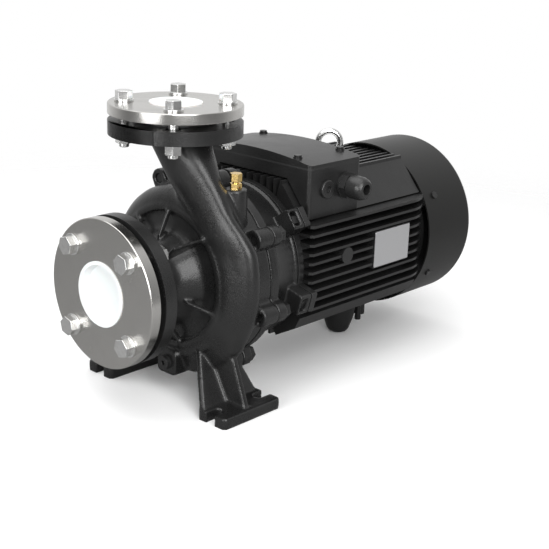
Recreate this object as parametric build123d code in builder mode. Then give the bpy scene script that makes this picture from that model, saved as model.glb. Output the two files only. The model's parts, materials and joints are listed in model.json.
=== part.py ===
# Close-coupled end-suction centrifugal pump with its motor, size class 65-50-200.
# Millimetres. +X runs along the shaft from the suction flange to the motor, +Z is up, the floor is z = 0,
# and the origin lies midway between the four foot slots.
import os
from math import cos, radians, sin

from build123d import *

os.makedirs("parts", exist_ok=True)

# Setting-out sizes of the pump
shaft_height = 160.0
discharge_x = -13.0
suction_reach = 100.0
discharge_rise = 200.0
casing_joint_x = 40.0
bracket_length = 65.0
housing_length = 252.0

# Flanges, standard PN 16 sizes
suction_flange_r = 92.5
suction_bolt_circle_r = 72.5
suction_raised_r = 61.0
suction_bore_r = 32.5
discharge_flange_r = 82.5
discharge_bolt_circle_r = 62.5
discharge_raised_r = 51.0
discharge_bore_r = 25.0
flange_thickness = 20.0
raised_face = 3.0
flange_hole_r = 9.0
flange_bolt_count = 4
gasket_thickness = 2.0
counter_flange_thickness = 17.0
suction_pipe_r = 39.0
discharge_pipe_r = 31.0
plug_clearance = 0.4

# Fasteners
m16_r = 8.0
m16_across_flats = 24.0
m16_head = 10.0
m16_nut = 13.0
m16_washer_r = 15.0
washer_thickness = 3.0
m12_r = 6.0
m12_across_flats = 19.0
m12_head = 7.5
m10_r = 5.0
m10_across_flats = 16.0
m10_nut = 8.0
hole_clearance = 0.6
bolt_end = 5.0

# Casing: walls, chamber and volute
wall = 7.0
neck_r = 44.0
lip_inner_r = 84.0
lip_outer_r = 92.0
lip_height = 2.0
pocket_depth = 6.0
volute_mid_x = -1.0
volute_base = 44.0
volute_crest = 20.0
volute_start_turn = 60.0
volute_start_r = 112.0
volute_end_r = 136.0
impeller_r = 100.0
chamber_gap = 4.0
casing_flange_r = 118.0
casing_flange_thickness = 25.0
lug_circle_r = 125.0
lug_r = 13.0
lug_count = 8
lug_first_turn = 30.0
discharge_neck_r = 35.0
neck_wall = 9.0

# Feet
foot_length = 100.0
foot_width = 50.0
foot_thickness = 14.5
foot_centre_y = 106.0
foot_slot_pitch = 70.0
foot_slot_width = 14.0
foot_mid_y = 107.5
web_thickness = 10.0
web_lean = 30.0
web_height = 62.0
foot_rib_thickness = 9.0

# Cover, seal and wear ring
cover_depth = 24.5
spigot_r = 108.0
spigot_clearance = 0.1
cover_seat_r = 112.0
cover_flange_thickness = 6.0
cover_plate = 11.0
seal_cavity_r = 27.0
seal_seat_r = 24.0
seal_head_r = 22.0
wear_ring_r = 44.0
wear_ring_bore_r = 38.3

# Shaft and impeller
shaft_thread_r = 10.0
shaft_impeller_r = 14.0
shaft_seal_r = 16.0
shaft_front_bearing_r = 20.0
shaft_rotor_r = 22.0
shaft_rear_bearing_r = 15.0
shaft_fan_r = 12.0
impeller_eye_r = 38.0
impeller_hub_r = 21.0
impeller_outlet = 10.0
shroud = 3.0
back_shroud = 4.0
impeller_gap = 2.0
vane_count = 6
vane_thickness = 4.0
key_width = 8.0
key_height = 7.0

# Bracket
bracket_flange = 16.0
bracket_front_r = 112.0
bracket_rear_r = 103.0
bracket_wall = 10.0
bracket_rim_r = 105.0
upper_ear_turn = 36.0
lower_ear_turn = -15.0
ear_width = 28.0
ear_reach = 131.0
ear_length = 20.0
ear_bolt_circle_r = 119.0

# Motor
shield_thickness = 10.0
housing_core_r = 98.0
housing_bore_r = 92.0
fin_thickness = 3.6
side_fin_count = 10
side_fin_pitch = 12.3
side_fin_top = 62.0
side_fin_reach = 117.0
top_fin_count = 11
top_fin_pitch = 12.0
top_fin_reach = 113.0
fin_end_length = 22.0
fin_end_reach = 105.0
rotor_length = 120.0
rotor_r = 54.5
stator_bore_r = 55.0
fan_cover_length = 106.0
fan_cover_r = 120.0
fan_cover_wall = 2.0
bearing_front_r = 40.0
bearing_front_width = 18.0
bearing_rear_r = 31.0
bearing_rear_width = 16.0

# Terminal box
box_x = 125.0
box_length = 102.0
box_half_width = 100.0
box_skirt = 67.0
box_seat = 115.0
box_rim = 131.0
box_wall = 5.0
box_gasket = 2.0
cover_edge = 4.0
cover_crown = 13.0
cover_wall = 3.0
entry_height = 103.0
gland_x = 195.0
blank_x = 158.0
gland_bore_r = 7.0

# Stations that follow from the sizes above
suction_x = discharge_x - suction_reach
discharge_z = shaft_height + discharge_rise
suction_back_x = suction_x + flange_thickness
cover_face_x = casing_joint_x - cover_depth
impeller_back_x = cover_face_x - impeller_gap
impeller_outlet_x = impeller_back_x - back_shroud - impeller_outlet
impeller_front_x = impeller_outlet_x - shroud
chamber_front_x = impeller_front_x - impeller_gap
chamber_r = impeller_r + chamber_gap
front_wall_x = volute_mid_x - volute_base / 2
eye_x = front_wall_x - 8
motor_face_x = casing_joint_x + bracket_length
housing_x = motor_face_x + shield_thickness
housing_end_x = housing_x + housing_length
cover_rim = box_rim + box_gasket

lengthwise = Plane(origin=(0, 0, shaft_height), x_dir=(1, 0, 0), z_dir=(0, -1, 0))
shaft_line = Axis((0, 0, shaft_height), (1, 0, 0))


def across(x):
    # The plane square to the shaft at x: its own x runs along +Y and its own y along +Z.
    return Plane(origin=(x, 0, shaft_height), x_dir=(0, 1, 0), z_dir=(1, 0, 0))


def turned(*outline):
    # A body turned about the shaft, from its corners as (x, radius).
    with BuildPart() as body:
        with BuildSketch(lengthwise):
            with BuildLine():
                Polyline(*outline, close=True)
            make_face()
        revolve(axis=shaft_line)
    return body.part


def ring(start_x, end_x, outer_r, inner_r=0.0):
    return turned((start_x, inner_r), (start_x, outer_r), (end_x, outer_r), (end_x, inner_r))


def disc(x, length, r, y=0.0, z=0.0):
    # A plain cylinder along X, with its centre line at y and at z above the shaft.
    with BuildPart() as body:
        with BuildSketch(across(x)):
            with Locations((y, z)):
                Circle(r)
        extrude(amount=length)
    return body.part


def post(x, y, bottom_z, top_z, r):
    # A plain upright cylinder.
    with BuildPart() as body:
        with BuildSketch(Plane.XY.offset(bottom_z)):
            with Locations((x, y)):
                Circle(r)
        extrude(amount=top_z - bottom_z)
    return body.part


def on_circle(radius, turn):
    # A place round the shaft: turn is counted from the -Y side towards the top.
    return (-radius * cos(radians(turn)), radius * sin(radians(turn)))


def round_shaft(radius, count, first_turn):
    return [on_circle(radius, first_turn + 360 / count * i) for i in range(count)]


def finish(piece, name):
    piece.label = name
    export_step(piece, f"parts/{name}.step")


# Casing


def flow_plane(x, y, z, turn):
    # A plane across the flow. Its own x is along the shaft and its own y points outwards.
    tilt = radians(turn)
    return Plane(origin=(x, y, z + shaft_height), x_dir=(1, 0, 0), z_dir=(0, -sin(tilt), -cos(tilt)))


def flow_section(plane, base, crest, low, high, base_round, crest_round):
    # A rounded trapezium, wide at the inside of the volute and narrow at its crest.
    with BuildSketch(plane) as section:
        with BuildLine():
            Polyline((-base / 2, low), (base / 2, low), (crest / 2, high), (-crest / 2, high), close=True)
        make_face()
        corners = section.vertices().sort_by(Axis.Y)
        fillet(corners[:2], base_round)
        corners = section.vertices().sort_by(Axis.Y)
        fillet(corners[-2:], crest_round)
    return section.sketch


def volute_body(inset, low_r, base_round, crest_round):
    # The spiral from the tongue round the top, the far side and the bottom to the near side.
    steps = 20
    with BuildPart() as body:
        for i in range(steps + 1):
            turn = volute_start_turn + (360 - volute_start_turn) * i / steps
            crest_r = volute_start_r + (volute_end_r - volute_start_r) * i / steps
            plane = flow_plane(volute_mid_x, 0, 0, turn)
            add(
                flow_section(
                    plane,
                    volute_base - 2 * inset,
                    volute_crest - inset,
                    low_r,
                    crest_r - inset,
                    base_round,
                    crest_round,
                )
            )
        loft(ruled=True)
    return body.part


# The neck's centre line as (y, height above the shaft, turn), with its share of the way to the discharge
# axis, the widths inside and outside the bend, and how far its inner side lies from the centre line.
neck_half = discharge_neck_r
neck_rows = (
    (neck_half - volute_end_r, 0.0, 0.0, 0.0, volute_base, volute_crest, 5.0, 13.0),
    (-100.0, 24.0, 7.0, 0.02, volute_base, volute_crest, 10.0, 11.0),
    (-97.0, 46.0, 14.0, 0.08, 44.0, 20.0, 15.0, 7.0),
    (-85.0, 62.0, 22.0, 0.5, 42.0, 19.0, 14.0, 5.0),
    (-65.0, 81.0, 31.0, 0.9, 37.0, 17.0, 16.0, 6.0),
    (-54.0, 102.0, 38.0, 1.0, 42.0, 23.0, 24.0, 11.0),
    (-42.0, 121.0, 38.0, 1.0, 52.0, 32.0, 29.0, 17.0),
    (-29.0, 141.0, 35.0, 1.0, 61.0, 46.0, 33.0, 22.0),
    (-16.0, 158.0, 31.0, 0.93, 66.0, 54.0, neck_half - 1, 25.0),
    (-4.0, 175.0, 16.0, 1.0, 2 * neck_half - 1, 2 * neck_half - 4, neck_half, neck_half - neck_wall),
    (0.0, 190.0, 0.0, 1.0, 2 * neck_half, 2 * neck_half, neck_half, neck_half - neck_wall),
)
# Corner radii of each row: inside the bend, outside it, and in the channel.
neck_rounds = (
    (3.0, 9.0, 3.0),
    (4.0, 9.0, 3.0),
    (6.0, 9.0, 3.0),
    (9.0, 9.0, 4.0),
    (11.0, 7.5, 3.0),
    (16.0, 10.0, 5.0),
    (20.0, 13.0, 7.0),
    (24.0, 19.0, 12.0),
    (29.0, 25.0, 18.0),
    (33.0, 32.0, 23.0),
    (34.0, 34.0, 25.0),
)


def neck_body(inside):
    with BuildPart() as body:
        for row, rounds in zip(neck_rows, neck_rounds):
            y, z, turn, share, base, crest, low, channel_low = row
            base_round, crest_round, channel_round = rounds
            inset = wall + (neck_wall - wall) * share if inside else 0.0
            x = volute_mid_x + (discharge_x - volute_mid_x) * share
            plane = flow_plane(x, y, z, turn)
            crest_inset = inset * (1 + (crest - volute_crest) / (2 * neck_half - volute_crest))
            add(
                flow_section(
                    plane,
                    base - 2 * inset,
                    crest - crest_inset,
                    -channel_low if inside else -low,
                    neck_half - inset,
                    channel_round if inside else base_round,
                    channel_round if inside else crest_round,
                )
            )
        loft(ruled=True)
    return body.part


def rib(turn, *outline):
    # A thin web in a plane through the shaft, from its corners as (x, radius).
    y, z = on_circle(1.0, turn)
    plane = Plane(origin=(0, 0, shaft_height), x_dir=(1, 0, 0), z_dir=(0, -z, y))
    with BuildPart() as web:
        with BuildSketch(plane):
            with BuildLine():
                Polyline(*outline, close=True)
            make_face()
        extrude(amount=2.0, both=True)
    return web.part


def foot():
    # The foot on the +Y side: pad with open-ended slots, leaning web and centre rib.
    slot_reach = (foot_length - foot_slot_pitch) / 2
    with BuildPart() as body:
        with BuildSketch(Plane.XY):
            with Locations((0, foot_mid_y)):
                RectangleRounded(foot_length, foot_width, 7)
            for side in (-1, 1):
                with Locations((side * (foot_slot_pitch + slot_reach) / 2, foot_centre_y)):
                    Rectangle(slot_reach, foot_slot_width, mode=Mode.SUBTRACT)
                with Locations((side * foot_slot_pitch / 2, foot_centre_y)):
                    Circle(foot_slot_width / 2, mode=Mode.SUBTRACT)
        extrude(amount=foot_thickness)
        with BuildSketch(Plane.XY.offset(foot_thickness - 2)):
            with Locations((-2, foot_mid_y - foot_width / 2 + web_thickness / 2 + 3)):
                RectangleRounded(96, web_thickness, 3)
        with BuildSketch(Plane.XY.offset(web_height + 16)):
            with Locations((2, foot_mid_y - foot_width / 2 + web_thickness / 2 + 3 - web_lean - 8)):
                RectangleRounded(50, web_thickness, 3)
        loft(ruled=True)
        with BuildSketch(Plane(origin=(-5, 0, 0), x_dir=(0, 1, 0), z_dir=(1, 0, 0))):
            with BuildLine():
                Polyline(
                    (foot_mid_y - 16, foot_thickness - 2),
                    (foot_mid_y + foot_width / 2 - 6, foot_thickness - 2),
                    (foot_mid_y - 4, shaft_height - 88),
                    (foot_mid_y - 42, shaft_height - 80),
                    (foot_mid_y - 42, foot_thickness + 30),
                    close=True,
                )
            make_face()
        extrude(amount=foot_rib_thickness / 2, both=True)
    return body.part


vent_x = 14.0
vent_y = -78.0
vent_boss_r = 14.0
vent_top = shaft_height + 120.0
vent_thread_r = 6.5
drain_y = -3.0
drain_height = 114.0
drain_front_x = front_wall_x - 6
drain_thread_r = 6.5

rib_root_r = neck_r - 4
short_rib = (
    (front_wall_x + pocket_depth, lip_inner_r + 4),
    (front_wall_x - 1, lip_outer_r),
    (front_wall_x - 19, neck_r + 12),
    (front_wall_x - 19, rib_root_r),
)
# The long one stops short of the nuts behind the flange.
long_rib = (
    (front_wall_x + pocket_depth, lip_inner_r),
    (front_wall_x - 1, lip_outer_r),
    (suction_back_x + 22, lip_inner_r + 1),
    (suction_back_x + 22, neck_r + 12),
    (suction_back_x + 3, neck_r + 8),
    (suction_back_x + 3, rib_root_r),
)

with BuildPart() as casing:
    with BuildSketch(lengthwise):
        with BuildLine():
            Polyline(
                (suction_x, 0),
                (suction_x, suction_raised_r),
                (suction_x + raised_face, suction_raised_r),
                (suction_x + raised_face, suction_flange_r),
                (suction_back_x, suction_flange_r),
            )
            FilletPolyline(
                (suction_back_x, suction_flange_r),
                (suction_back_x, neck_r),
                (front_wall_x - 24, neck_r + 2),
                (front_wall_x + 1, 62),
                (front_wall_x + pocket_depth, lip_inner_r),
                radius=(8, 22, 14),
            )
            Polyline(
                (front_wall_x + pocket_depth, lip_inner_r),
                (front_wall_x - lip_height, lip_inner_r),
                (front_wall_x - lip_height, lip_outer_r),
                (front_wall_x, lip_outer_r),
                (front_wall_x, chamber_r),
                (front_wall_x + wall + 3, chamber_r + wall),
                (casing_joint_x - casing_flange_thickness, chamber_r + wall),
                (casing_joint_x - casing_flange_thickness, casing_flange_r),
                (casing_joint_x, casing_flange_r),
                (casing_joint_x, 0),
                (suction_x, 0),
            )
        make_face()
    revolve(axis=shaft_line)
    add(volute_body(0, chamber_r - 8, 3, 9))
    add(neck_body(False))
    with BuildSketch(across(casing_joint_x)):
        with Locations(*round_shaft(lug_circle_r, lug_count, lug_first_turn)):
            Circle(lug_r)
    extrude(amount=-casing_flange_thickness)
    with BuildSketch(across(casing_joint_x)):
        with PolarLocations(0, lug_count, start_angle=180 - lug_first_turn):
            with Locations((lug_circle_r - 12, 0)):
                Rectangle(24, 2 * lug_r)
    extrude(amount=-casing_flange_thickness)
    with BuildSketch(Plane.XY.offset(discharge_z - flange_thickness)):
        with Locations((discharge_x, 0)):
            Circle(discharge_flange_r)
    extrude(amount=flange_thickness - raised_face)
    with BuildSketch(Plane.XY.offset(discharge_z - flange_thickness)):
        with Locations((discharge_x, 0)):
            Circle(discharge_raised_r)
    extrude(amount=flange_thickness)
    add(post(vent_x, vent_y, shaft_height + 62, vent_top, vent_boss_r))
    with BuildSketch(across(drain_front_x)):
        with Locations((drain_y, -drain_height + 1)):
            RectangleRounded(36, 34, 7)
    extrude(amount=34)
    for turn in (90, 44, -20, -75, -130, 175, 130):
        if turn == 44:
            add(rib(turn, *long_rib))
        else:
            add(rib(turn, *short_rib))
    add(foot())
    add(foot().mirror(Plane.XZ))
    # The wet passages and the seats for the cover
    with BuildSketch(lengthwise):
        with BuildLine():
            Polyline(
                (suction_x, 0),
                (suction_x, suction_bore_r),
                (eye_x, suction_bore_r + 1.5),
                (eye_x, wear_ring_r),
                (eye_x + 12, wear_ring_r),
                (front_wall_x + wall + 1, 62),
                (chamber_front_x, 86),
                (chamber_front_x, chamber_r),
                (cover_face_x, chamber_r),
                (cover_face_x, spigot_r),
                (casing_joint_x - cover_flange_thickness, spigot_r),
                (casing_joint_x - cover_flange_thickness, cover_seat_r),
                (casing_joint_x, cover_seat_r),
                (casing_joint_x, 0),
                close=True,
            )
        make_face()
    revolve(axis=shaft_line, mode=Mode.SUBTRACT)
    add(volute_body(wall, chamber_r - 16, 2, 6), mode=Mode.SUBTRACT)
    add(neck_body(True), mode=Mode.SUBTRACT)
    add(post(discharge_x, 0, shaft_height + 185, discharge_z, discharge_bore_r), mode=Mode.SUBTRACT)
    with BuildSketch(across(suction_x)):
        with PolarLocations(suction_bolt_circle_r, flange_bolt_count, start_angle=45):
            Circle(flange_hole_r)
    extrude(amount=flange_thickness, mode=Mode.SUBTRACT)
    with BuildSketch(Plane.XY.offset(discharge_z)):
        with Locations((discharge_x, 0)):
            with PolarLocations(discharge_bolt_circle_r, flange_bolt_count, start_angle=45):
                Circle(flange_hole_r)
    extrude(amount=-flange_thickness, mode=Mode.SUBTRACT)
    with BuildSketch(across(casing_joint_x)):
        with Locations(*round_shaft(lug_circle_r, lug_count, lug_first_turn)):
            Circle(m12_r)
    extrude(amount=-casing_flange_thickness, mode=Mode.SUBTRACT)
    add(post(vent_x, vent_y, vent_top - 12, vent_top, vent_thread_r), mode=Mode.SUBTRACT)
    add(disc(drain_front_x, 12, drain_thread_r, drain_y, -drain_height), mode=Mode.SUBTRACT)
finish(casing.part, "casing")


# Counter flanges, gaskets, transport plugs and their bolting


def hex_prism(across_flats, height):
    # A hexagon prism standing on the origin.
    with BuildPart() as body:
        with BuildSketch():
            RegularPolygon(across_flats / 2, 6, major_radius=False)
        extrude(amount=height)
    return body.part


def hex_bolt(r, across_flats, head, length):
    # The head's seat is at the origin and the shank runs along +Z.
    with BuildPart() as body:
        add(hex_prism(across_flats, head).moved(Location((0, 0, -head))))
        with BuildSketch():
            Circle(r)
        extrude(amount=length)
        chamfer(body.edges().filter_by(GeomType.CIRCLE).sort_by(Axis.Z)[-1], r / 8)
    return body.part


def hex_nut(r, across_flats, height):
    with BuildPart() as body:
        add(hex_prism(across_flats, height))
        with BuildSketch():
            Circle(r)
        extrude(amount=height, mode=Mode.SUBTRACT)
    return body.part


def washer(outer_r, inner_r, thickness):
    with BuildPart() as body:
        with BuildSketch():
            Circle(outer_r)
            Circle(inner_r, mode=Mode.SUBTRACT)
        extrude(amount=thickness)
    return body.part


def flange_group(piece, plane, circle_r):
    # One copy of a fastener at each bolt hole of a flange.
    with BuildPart(plane) as group:
        with PolarLocations(circle_r, flange_bolt_count, start_angle=45):
            add(piece)
    return group.part


def counter_flange(rim_r, raised_r, bore_r, circle_r, thickness):
    # Lies on its raised face at the origin, with its body towards +Z.
    with BuildPart() as flange:
        with BuildSketch():
            Circle(raised_r)
        extrude(amount=raised_face)
        with BuildSketch(Plane.XY.offset(raised_face)):
            Circle(rim_r)
        extrude(amount=thickness - raised_face)
        chamfer(flange.edges().filter_by(GeomType.CIRCLE).sort_by(Axis.Z)[-1], 1.0)
        with BuildSketch():
            Circle(bore_r)
            with PolarLocations(circle_r, flange_bolt_count, start_angle=45):
                Circle(flange_hole_r)
        extrude(amount=thickness, mode=Mode.SUBTRACT)
    return flange.part


def transport_plug(pipe_r, dish):
    # A pushed-in plastic cap: its rim lies on the flange at the origin and its cup points towards -Z.
    cup_r = pipe_r - plug_clearance
    with BuildPart() as plug:
        with BuildSketch(Plane.XZ):
            with BuildLine():
                Polyline(
                    (0, -dish - plug_wall),
                    (cup_r, -dish - plug_wall),
                    (cup_r, 0),
                    (pipe_r + plug_lip, 0),
                    (pipe_r + plug_lip, plug_wall / 2),
                    (cup_r - plug_wall, plug_wall / 2),
                    (cup_r - 2 * plug_wall, -dish),
                    (0, -dish),
                    close=True,
                )
            make_face()
        revolve(axis=Axis.Z)
    return plug.part


plug_wall = 2.5
plug_lip = 1.5
suction_dish = 9.0
discharge_dish = 3.0

suction_gasket_x = suction_x - gasket_thickness
suction_front_x = suction_gasket_x - counter_flange_thickness
discharge_counter_thickness = counter_flange_thickness - 1
discharge_gasket_z = discharge_z + gasket_thickness
discharge_top_z = discharge_gasket_z + discharge_counter_thickness
above_discharge = Plane(origin=(discharge_x, 0, 0), x_dir=(1, 0, 0), z_dir=(0, 0, 1))
suction_outwards = Plane(origin=(suction_gasket_x, 0, shaft_height), x_dir=(0, 1, 0), z_dir=(-1, 0, 0))

finish(ring(suction_gasket_x, suction_x, suction_raised_r, suction_bore_r), "suction_gasket")
suction_counter_flange = counter_flange(
    suction_flange_r, suction_raised_r, suction_pipe_r, suction_bolt_circle_r, counter_flange_thickness
).moved(suction_outwards.location)
finish(suction_counter_flange, "suction_counter_flange")
suction_plug = transport_plug(suction_pipe_r, suction_dish).moved(
    suction_outwards.offset(counter_flange_thickness).location
)
finish(suction_plug, "suction_plug")

discharge_gasket = washer(discharge_raised_r, discharge_bore_r, gasket_thickness).moved(
    above_discharge.offset(discharge_z).location
)
finish(discharge_gasket, "discharge_gasket")
discharge_counter_flange = counter_flange(
    discharge_flange_r,
    discharge_raised_r,
    discharge_pipe_r,
    discharge_bolt_circle_r,
    discharge_counter_thickness,
).moved(above_discharge.offset(discharge_gasket_z).location)
finish(discharge_counter_flange, "discharge_counter_flange")
discharge_plug = transport_plug(discharge_pipe_r, discharge_dish).moved(
    above_discharge.offset(discharge_top_z).location
)
finish(discharge_plug, "discharge_plug")

suction_grip = washer_thickness + counter_flange_thickness + gasket_thickness + flange_thickness
discharge_grip = washer_thickness + discharge_counter_thickness + gasket_thickness + flange_thickness
m16_washer = washer(m16_washer_r, m16_r + hole_clearance, washer_thickness)
m16_hex_nut = hex_nut(m16_r, m16_across_flats, m16_nut)
suction_bolt = hex_bolt(m16_r, m16_across_flats, m16_head, suction_grip + m16_nut + bolt_end)
discharge_bolt = hex_bolt(m16_r, m16_across_flats, m16_head, discharge_grip + m16_nut + bolt_end)
suction_front = across(suction_front_x)
discharge_under_heads = Plane(
    origin=(discharge_x, 0, discharge_top_z + washer_thickness), x_dir=(1, 0, 0), z_dir=(0, 0, -1)
)
suction_under_heads = suction_front.offset(-washer_thickness)
finish(flange_group(m16_washer, suction_under_heads, suction_bolt_circle_r), "suction_washers")
finish(flange_group(suction_bolt, suction_under_heads, suction_bolt_circle_r), "suction_bolts")
finish(flange_group(m16_hex_nut, across(suction_back_x), suction_bolt_circle_r), "suction_nuts")
finish(
    flange_group(m16_washer, above_discharge.offset(discharge_top_z), discharge_bolt_circle_r),
    "discharge_washers",
)
finish(flange_group(discharge_bolt, discharge_under_heads, discharge_bolt_circle_r), "discharge_bolts")
finish(
    flange_group(m16_hex_nut, discharge_under_heads.offset(discharge_grip), discharge_bolt_circle_r),
    "discharge_nuts",
)

# Vent valve and drain plug

vent_across_flats = 13.0
vent_body_height = 8.5
vent_waist_r = 4.2
vent_waist = 2.5
vent_knob_height = 9.5
vent_stem_r = 2.5
vent_stem_gap = 0.1

with BuildPart() as vent_body:
    with BuildSketch():
        Circle(vent_thread_r)
    extrude(amount=-10)
    add(hex_prism(vent_across_flats, vent_body_height))
    with BuildSketch(Plane.XY.offset(vent_body_height)):
        Circle(vent_waist_r)
    extrude(amount=vent_waist)
    with BuildSketch(Plane.XY.offset(-10)):
        Circle(vent_stem_r + vent_stem_gap)
    extrude(amount=10 + vent_body_height + vent_waist, mode=Mode.SUBTRACT)
    with BuildSketch(Plane.XZ):
        with Locations((0, vent_body_height / 2)):
            Circle(1.2)
    extrude(amount=vent_across_flats, mode=Mode.SUBTRACT)
vent_place = Location((vent_x, vent_y, vent_top))
finish(vent_body.part.moved(vent_place), "vent_body")

with BuildPart() as vent_knob:
    with BuildSketch(Plane.XY.offset(vent_body_height + vent_waist + 0.2)):
        RegularPolygon(vent_across_flats / 2, 6, major_radius=False)
    extrude(amount=vent_knob_height)
    with BuildSketch(Plane.XY.offset(vent_body_height + vent_waist + 0.2)):
        Circle(vent_stem_r)
    extrude(amount=-12)
finish(vent_knob.part.moved(vent_place), "vent_knob")

drain_washer_thickness = 1.5
drain_head_r = 9.0
drain_head = 4.5
drain_key = 6.0
drain_face = Plane(
    origin=(drain_front_x, drain_y, shaft_height - drain_height), x_dir=(0, 1, 0), z_dir=(-1, 0, 0)
)
finish(
    washer(drain_head_r, drain_thread_r, drain_washer_thickness).moved(drain_face.location), "drain_washer"
)
with BuildPart() as drain_plug:
    with BuildSketch():
        Circle(drain_thread_r)
    extrude(amount=-10)
    with BuildSketch(Plane.XY.offset(drain_washer_thickness)):
        Circle(drain_head_r)
    extrude(amount=drain_head)
    with BuildSketch():
        Circle(drain_thread_r)
    extrude(amount=drain_washer_thickness)
    with BuildSketch(Plane.XY.offset(drain_washer_thickness + drain_head)):
        RegularPolygon(drain_key / 2, 6, major_radius=False)
    extrude(amount=-drain_head, mode=Mode.SUBTRACT)
finish(drain_plug.part.moved(drain_face.location), "drain_plug")

# Casing cover and its gasket, wear ring and mechanical seal

cover_hub_r = 46.0
cover_hub_back_x = casing_joint_x + 5
seat_front_x = casing_joint_x - 7
seat_back_x = casing_joint_x + 1
cover_gasket = 1.0
cover_gasket_x = casing_joint_x - cover_flange_thickness
clamp_ring_r = 98.0
shaft_clearance = 1.0

finish(
    turned(
        (cover_face_x, seal_cavity_r),
        (cover_face_x, spigot_r - spigot_clearance),
        (cover_gasket_x + cover_gasket, spigot_r - spigot_clearance),
        (cover_gasket_x + cover_gasket, cover_seat_r - spigot_clearance),
        (casing_joint_x, cover_seat_r - spigot_clearance),
        (casing_joint_x, clamp_ring_r),
        (cover_face_x + cover_plate, clamp_ring_r),
        (cover_face_x + cover_plate, cover_hub_r + 6),
        (cover_face_x + cover_plate + 6, cover_hub_r),
        (cover_hub_back_x, cover_hub_r),
        (cover_hub_back_x, shaft_seal_r + shaft_clearance),
        (seat_back_x, shaft_seal_r + shaft_clearance),
        (seat_back_x, seal_seat_r),
        (seat_front_x, seal_seat_r),
        (seat_front_x, seal_cavity_r),
    ),
    "casing_cover",
)

finish(
    ring(cover_gasket_x, cover_gasket_x + cover_gasket, cover_seat_r - spigot_clearance, spigot_r),
    "casing_gasket",
)

finish(ring(eye_x, eye_x + 12, wear_ring_r, wear_ring_bore_r), "wear_ring")
finish(ring(seat_front_x, seat_back_x, seal_seat_r, shaft_seal_r + 0.5), "seal_seat")

hub_back_x = cover_face_x + 3.5
seal_head_x = seat_front_x - 8
seal_gap = 0.1
finish(
    turned(
        (seal_head_x, shaft_seal_r),
        (seal_head_x, seal_head_r),
        (seat_front_x - 3, seal_head_r),
        (seat_front_x - 3, seal_head_r - 2),
        (seat_front_x - seal_gap, seal_head_r - 2),
        (seat_front_x - seal_gap, shaft_seal_r),
    ),
    "seal_head",
)
bellows_r = shaft_seal_r + 1.0
bellows_fold = 3.0
folds = 3
fold_pitch = (seal_head_x - hub_back_x) / folds
bellows_outline = [(hub_back_x, shaft_seal_r)]
for fold in range(folds):
    bellows_outline.append((hub_back_x + fold * fold_pitch, bellows_r))
    bellows_outline.append((hub_back_x + (fold + 0.5) * fold_pitch, bellows_r + bellows_fold))
bellows_outline.append((seal_head_x, bellows_r))
bellows_outline.append((seal_head_x, shaft_seal_r))
finish(turned(*bellows_outline), "seal_bellows")

# Impeller with its nut, washer and key

nose_x = impeller_back_x - 25
nut_height = 16.0
nut_across_flats = 30.0
nut_washer_thickness = 2.5
nut_x = nose_x - nut_washer_thickness - nut_height
eye_front_x = eye_x + 2
passage_x = impeller_outlet_x
hub_fillet_r = impeller_hub_r + 3


def vane():
    # One backward-curved blade, thicker than the passage so that it meets both shrouds.
    radii = (shaft_impeller_r + 22, 70.0, impeller_r - 0.1)
    lags = (0.0, 33.0, 72.0)
    face = [on_circle(r, -lag) for r, lag in zip(radii, lags)]
    back = [on_circle(r, -lag - vane_thickness / r * 57.3) for r, lag in zip(radii, lags)]
    with BuildPart() as blade:
        with BuildSketch(across(eye_front_x)):
            with BuildLine():
                ThreePointArc(*face)
                Line(face[2], back[2])
                ThreePointArc(*back)
                Line(back[0], face[0])
            make_face()
        extrude(amount=impeller_back_x - eye_front_x)
    return blade.part


def bore_key(start_x, length, clearance=0.0):
    # The key, or its way when a clearance is given, on top of the shaft.
    with BuildPart() as key:
        with BuildSketch(across(start_x)):
            with Locations((0, shaft_impeller_r - 0.5)):
                Rectangle(key_width, key_height + 2 * clearance)
        extrude(amount=length)
    return key.part


with BuildPart() as impeller:
    blade = vane()
    for i in range(vane_count):
        add(blade.rotate(shaft_line, 360 / vane_count * i))
    passage = turned(
        (passage_x - 1.5, impeller_r),
        (passage_x - 1.5, 86),
        (passage_x - 6.5, 62),
        (passage_x - 11, 42),
        (passage_x - 12, 30),
        (passage_x, 30),
        (passage_x + 7, 45),
        (impeller_back_x - 2, 60),
        (impeller_back_x - 2, impeller_r),
    )
    add(passage, mode=Mode.INTERSECT)
    add(
        turned(
            (eye_front_x, impeller_eye_r),
            (front_wall_x + 6, impeller_eye_r),
            (front_wall_x + wall + 3, 62),
            (impeller_front_x, 86),
            (impeller_front_x, impeller_r),
            (passage_x, impeller_r),
            (passage_x, 86),
            (passage_x - 5, 62),
            (passage_x - 9.5, 42),
            (front_wall_x + 6, impeller_eye_r - 3),
            (eye_front_x, impeller_eye_r - 3),
        )
    )
    add(
        turned(
            (impeller_back_x, impeller_r),
            (impeller_back_x - back_shroud, impeller_r),
            (impeller_back_x - back_shroud, 60),
            (impeller_back_x - 9, 40),
            (impeller_back_x - 19, hub_fillet_r),
            (nose_x, impeller_hub_r - 1),
            (nose_x, shaft_impeller_r),
            (hub_back_x, shaft_impeller_r),
            (hub_back_x, impeller_hub_r),
            (impeller_back_x, hub_fillet_r),
        )
    )
    add(bore_key(nose_x, hub_back_x - nose_x, 0.3), mode=Mode.SUBTRACT)
finish(impeller.part, "impeller")
finish(bore_key(nose_x + 4, 24), "impeller_key")
finish(
    ring(nose_x - nut_washer_thickness, nose_x, impeller_hub_r - 1, shaft_thread_r + 0.2), "impeller_washer"
)
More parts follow.
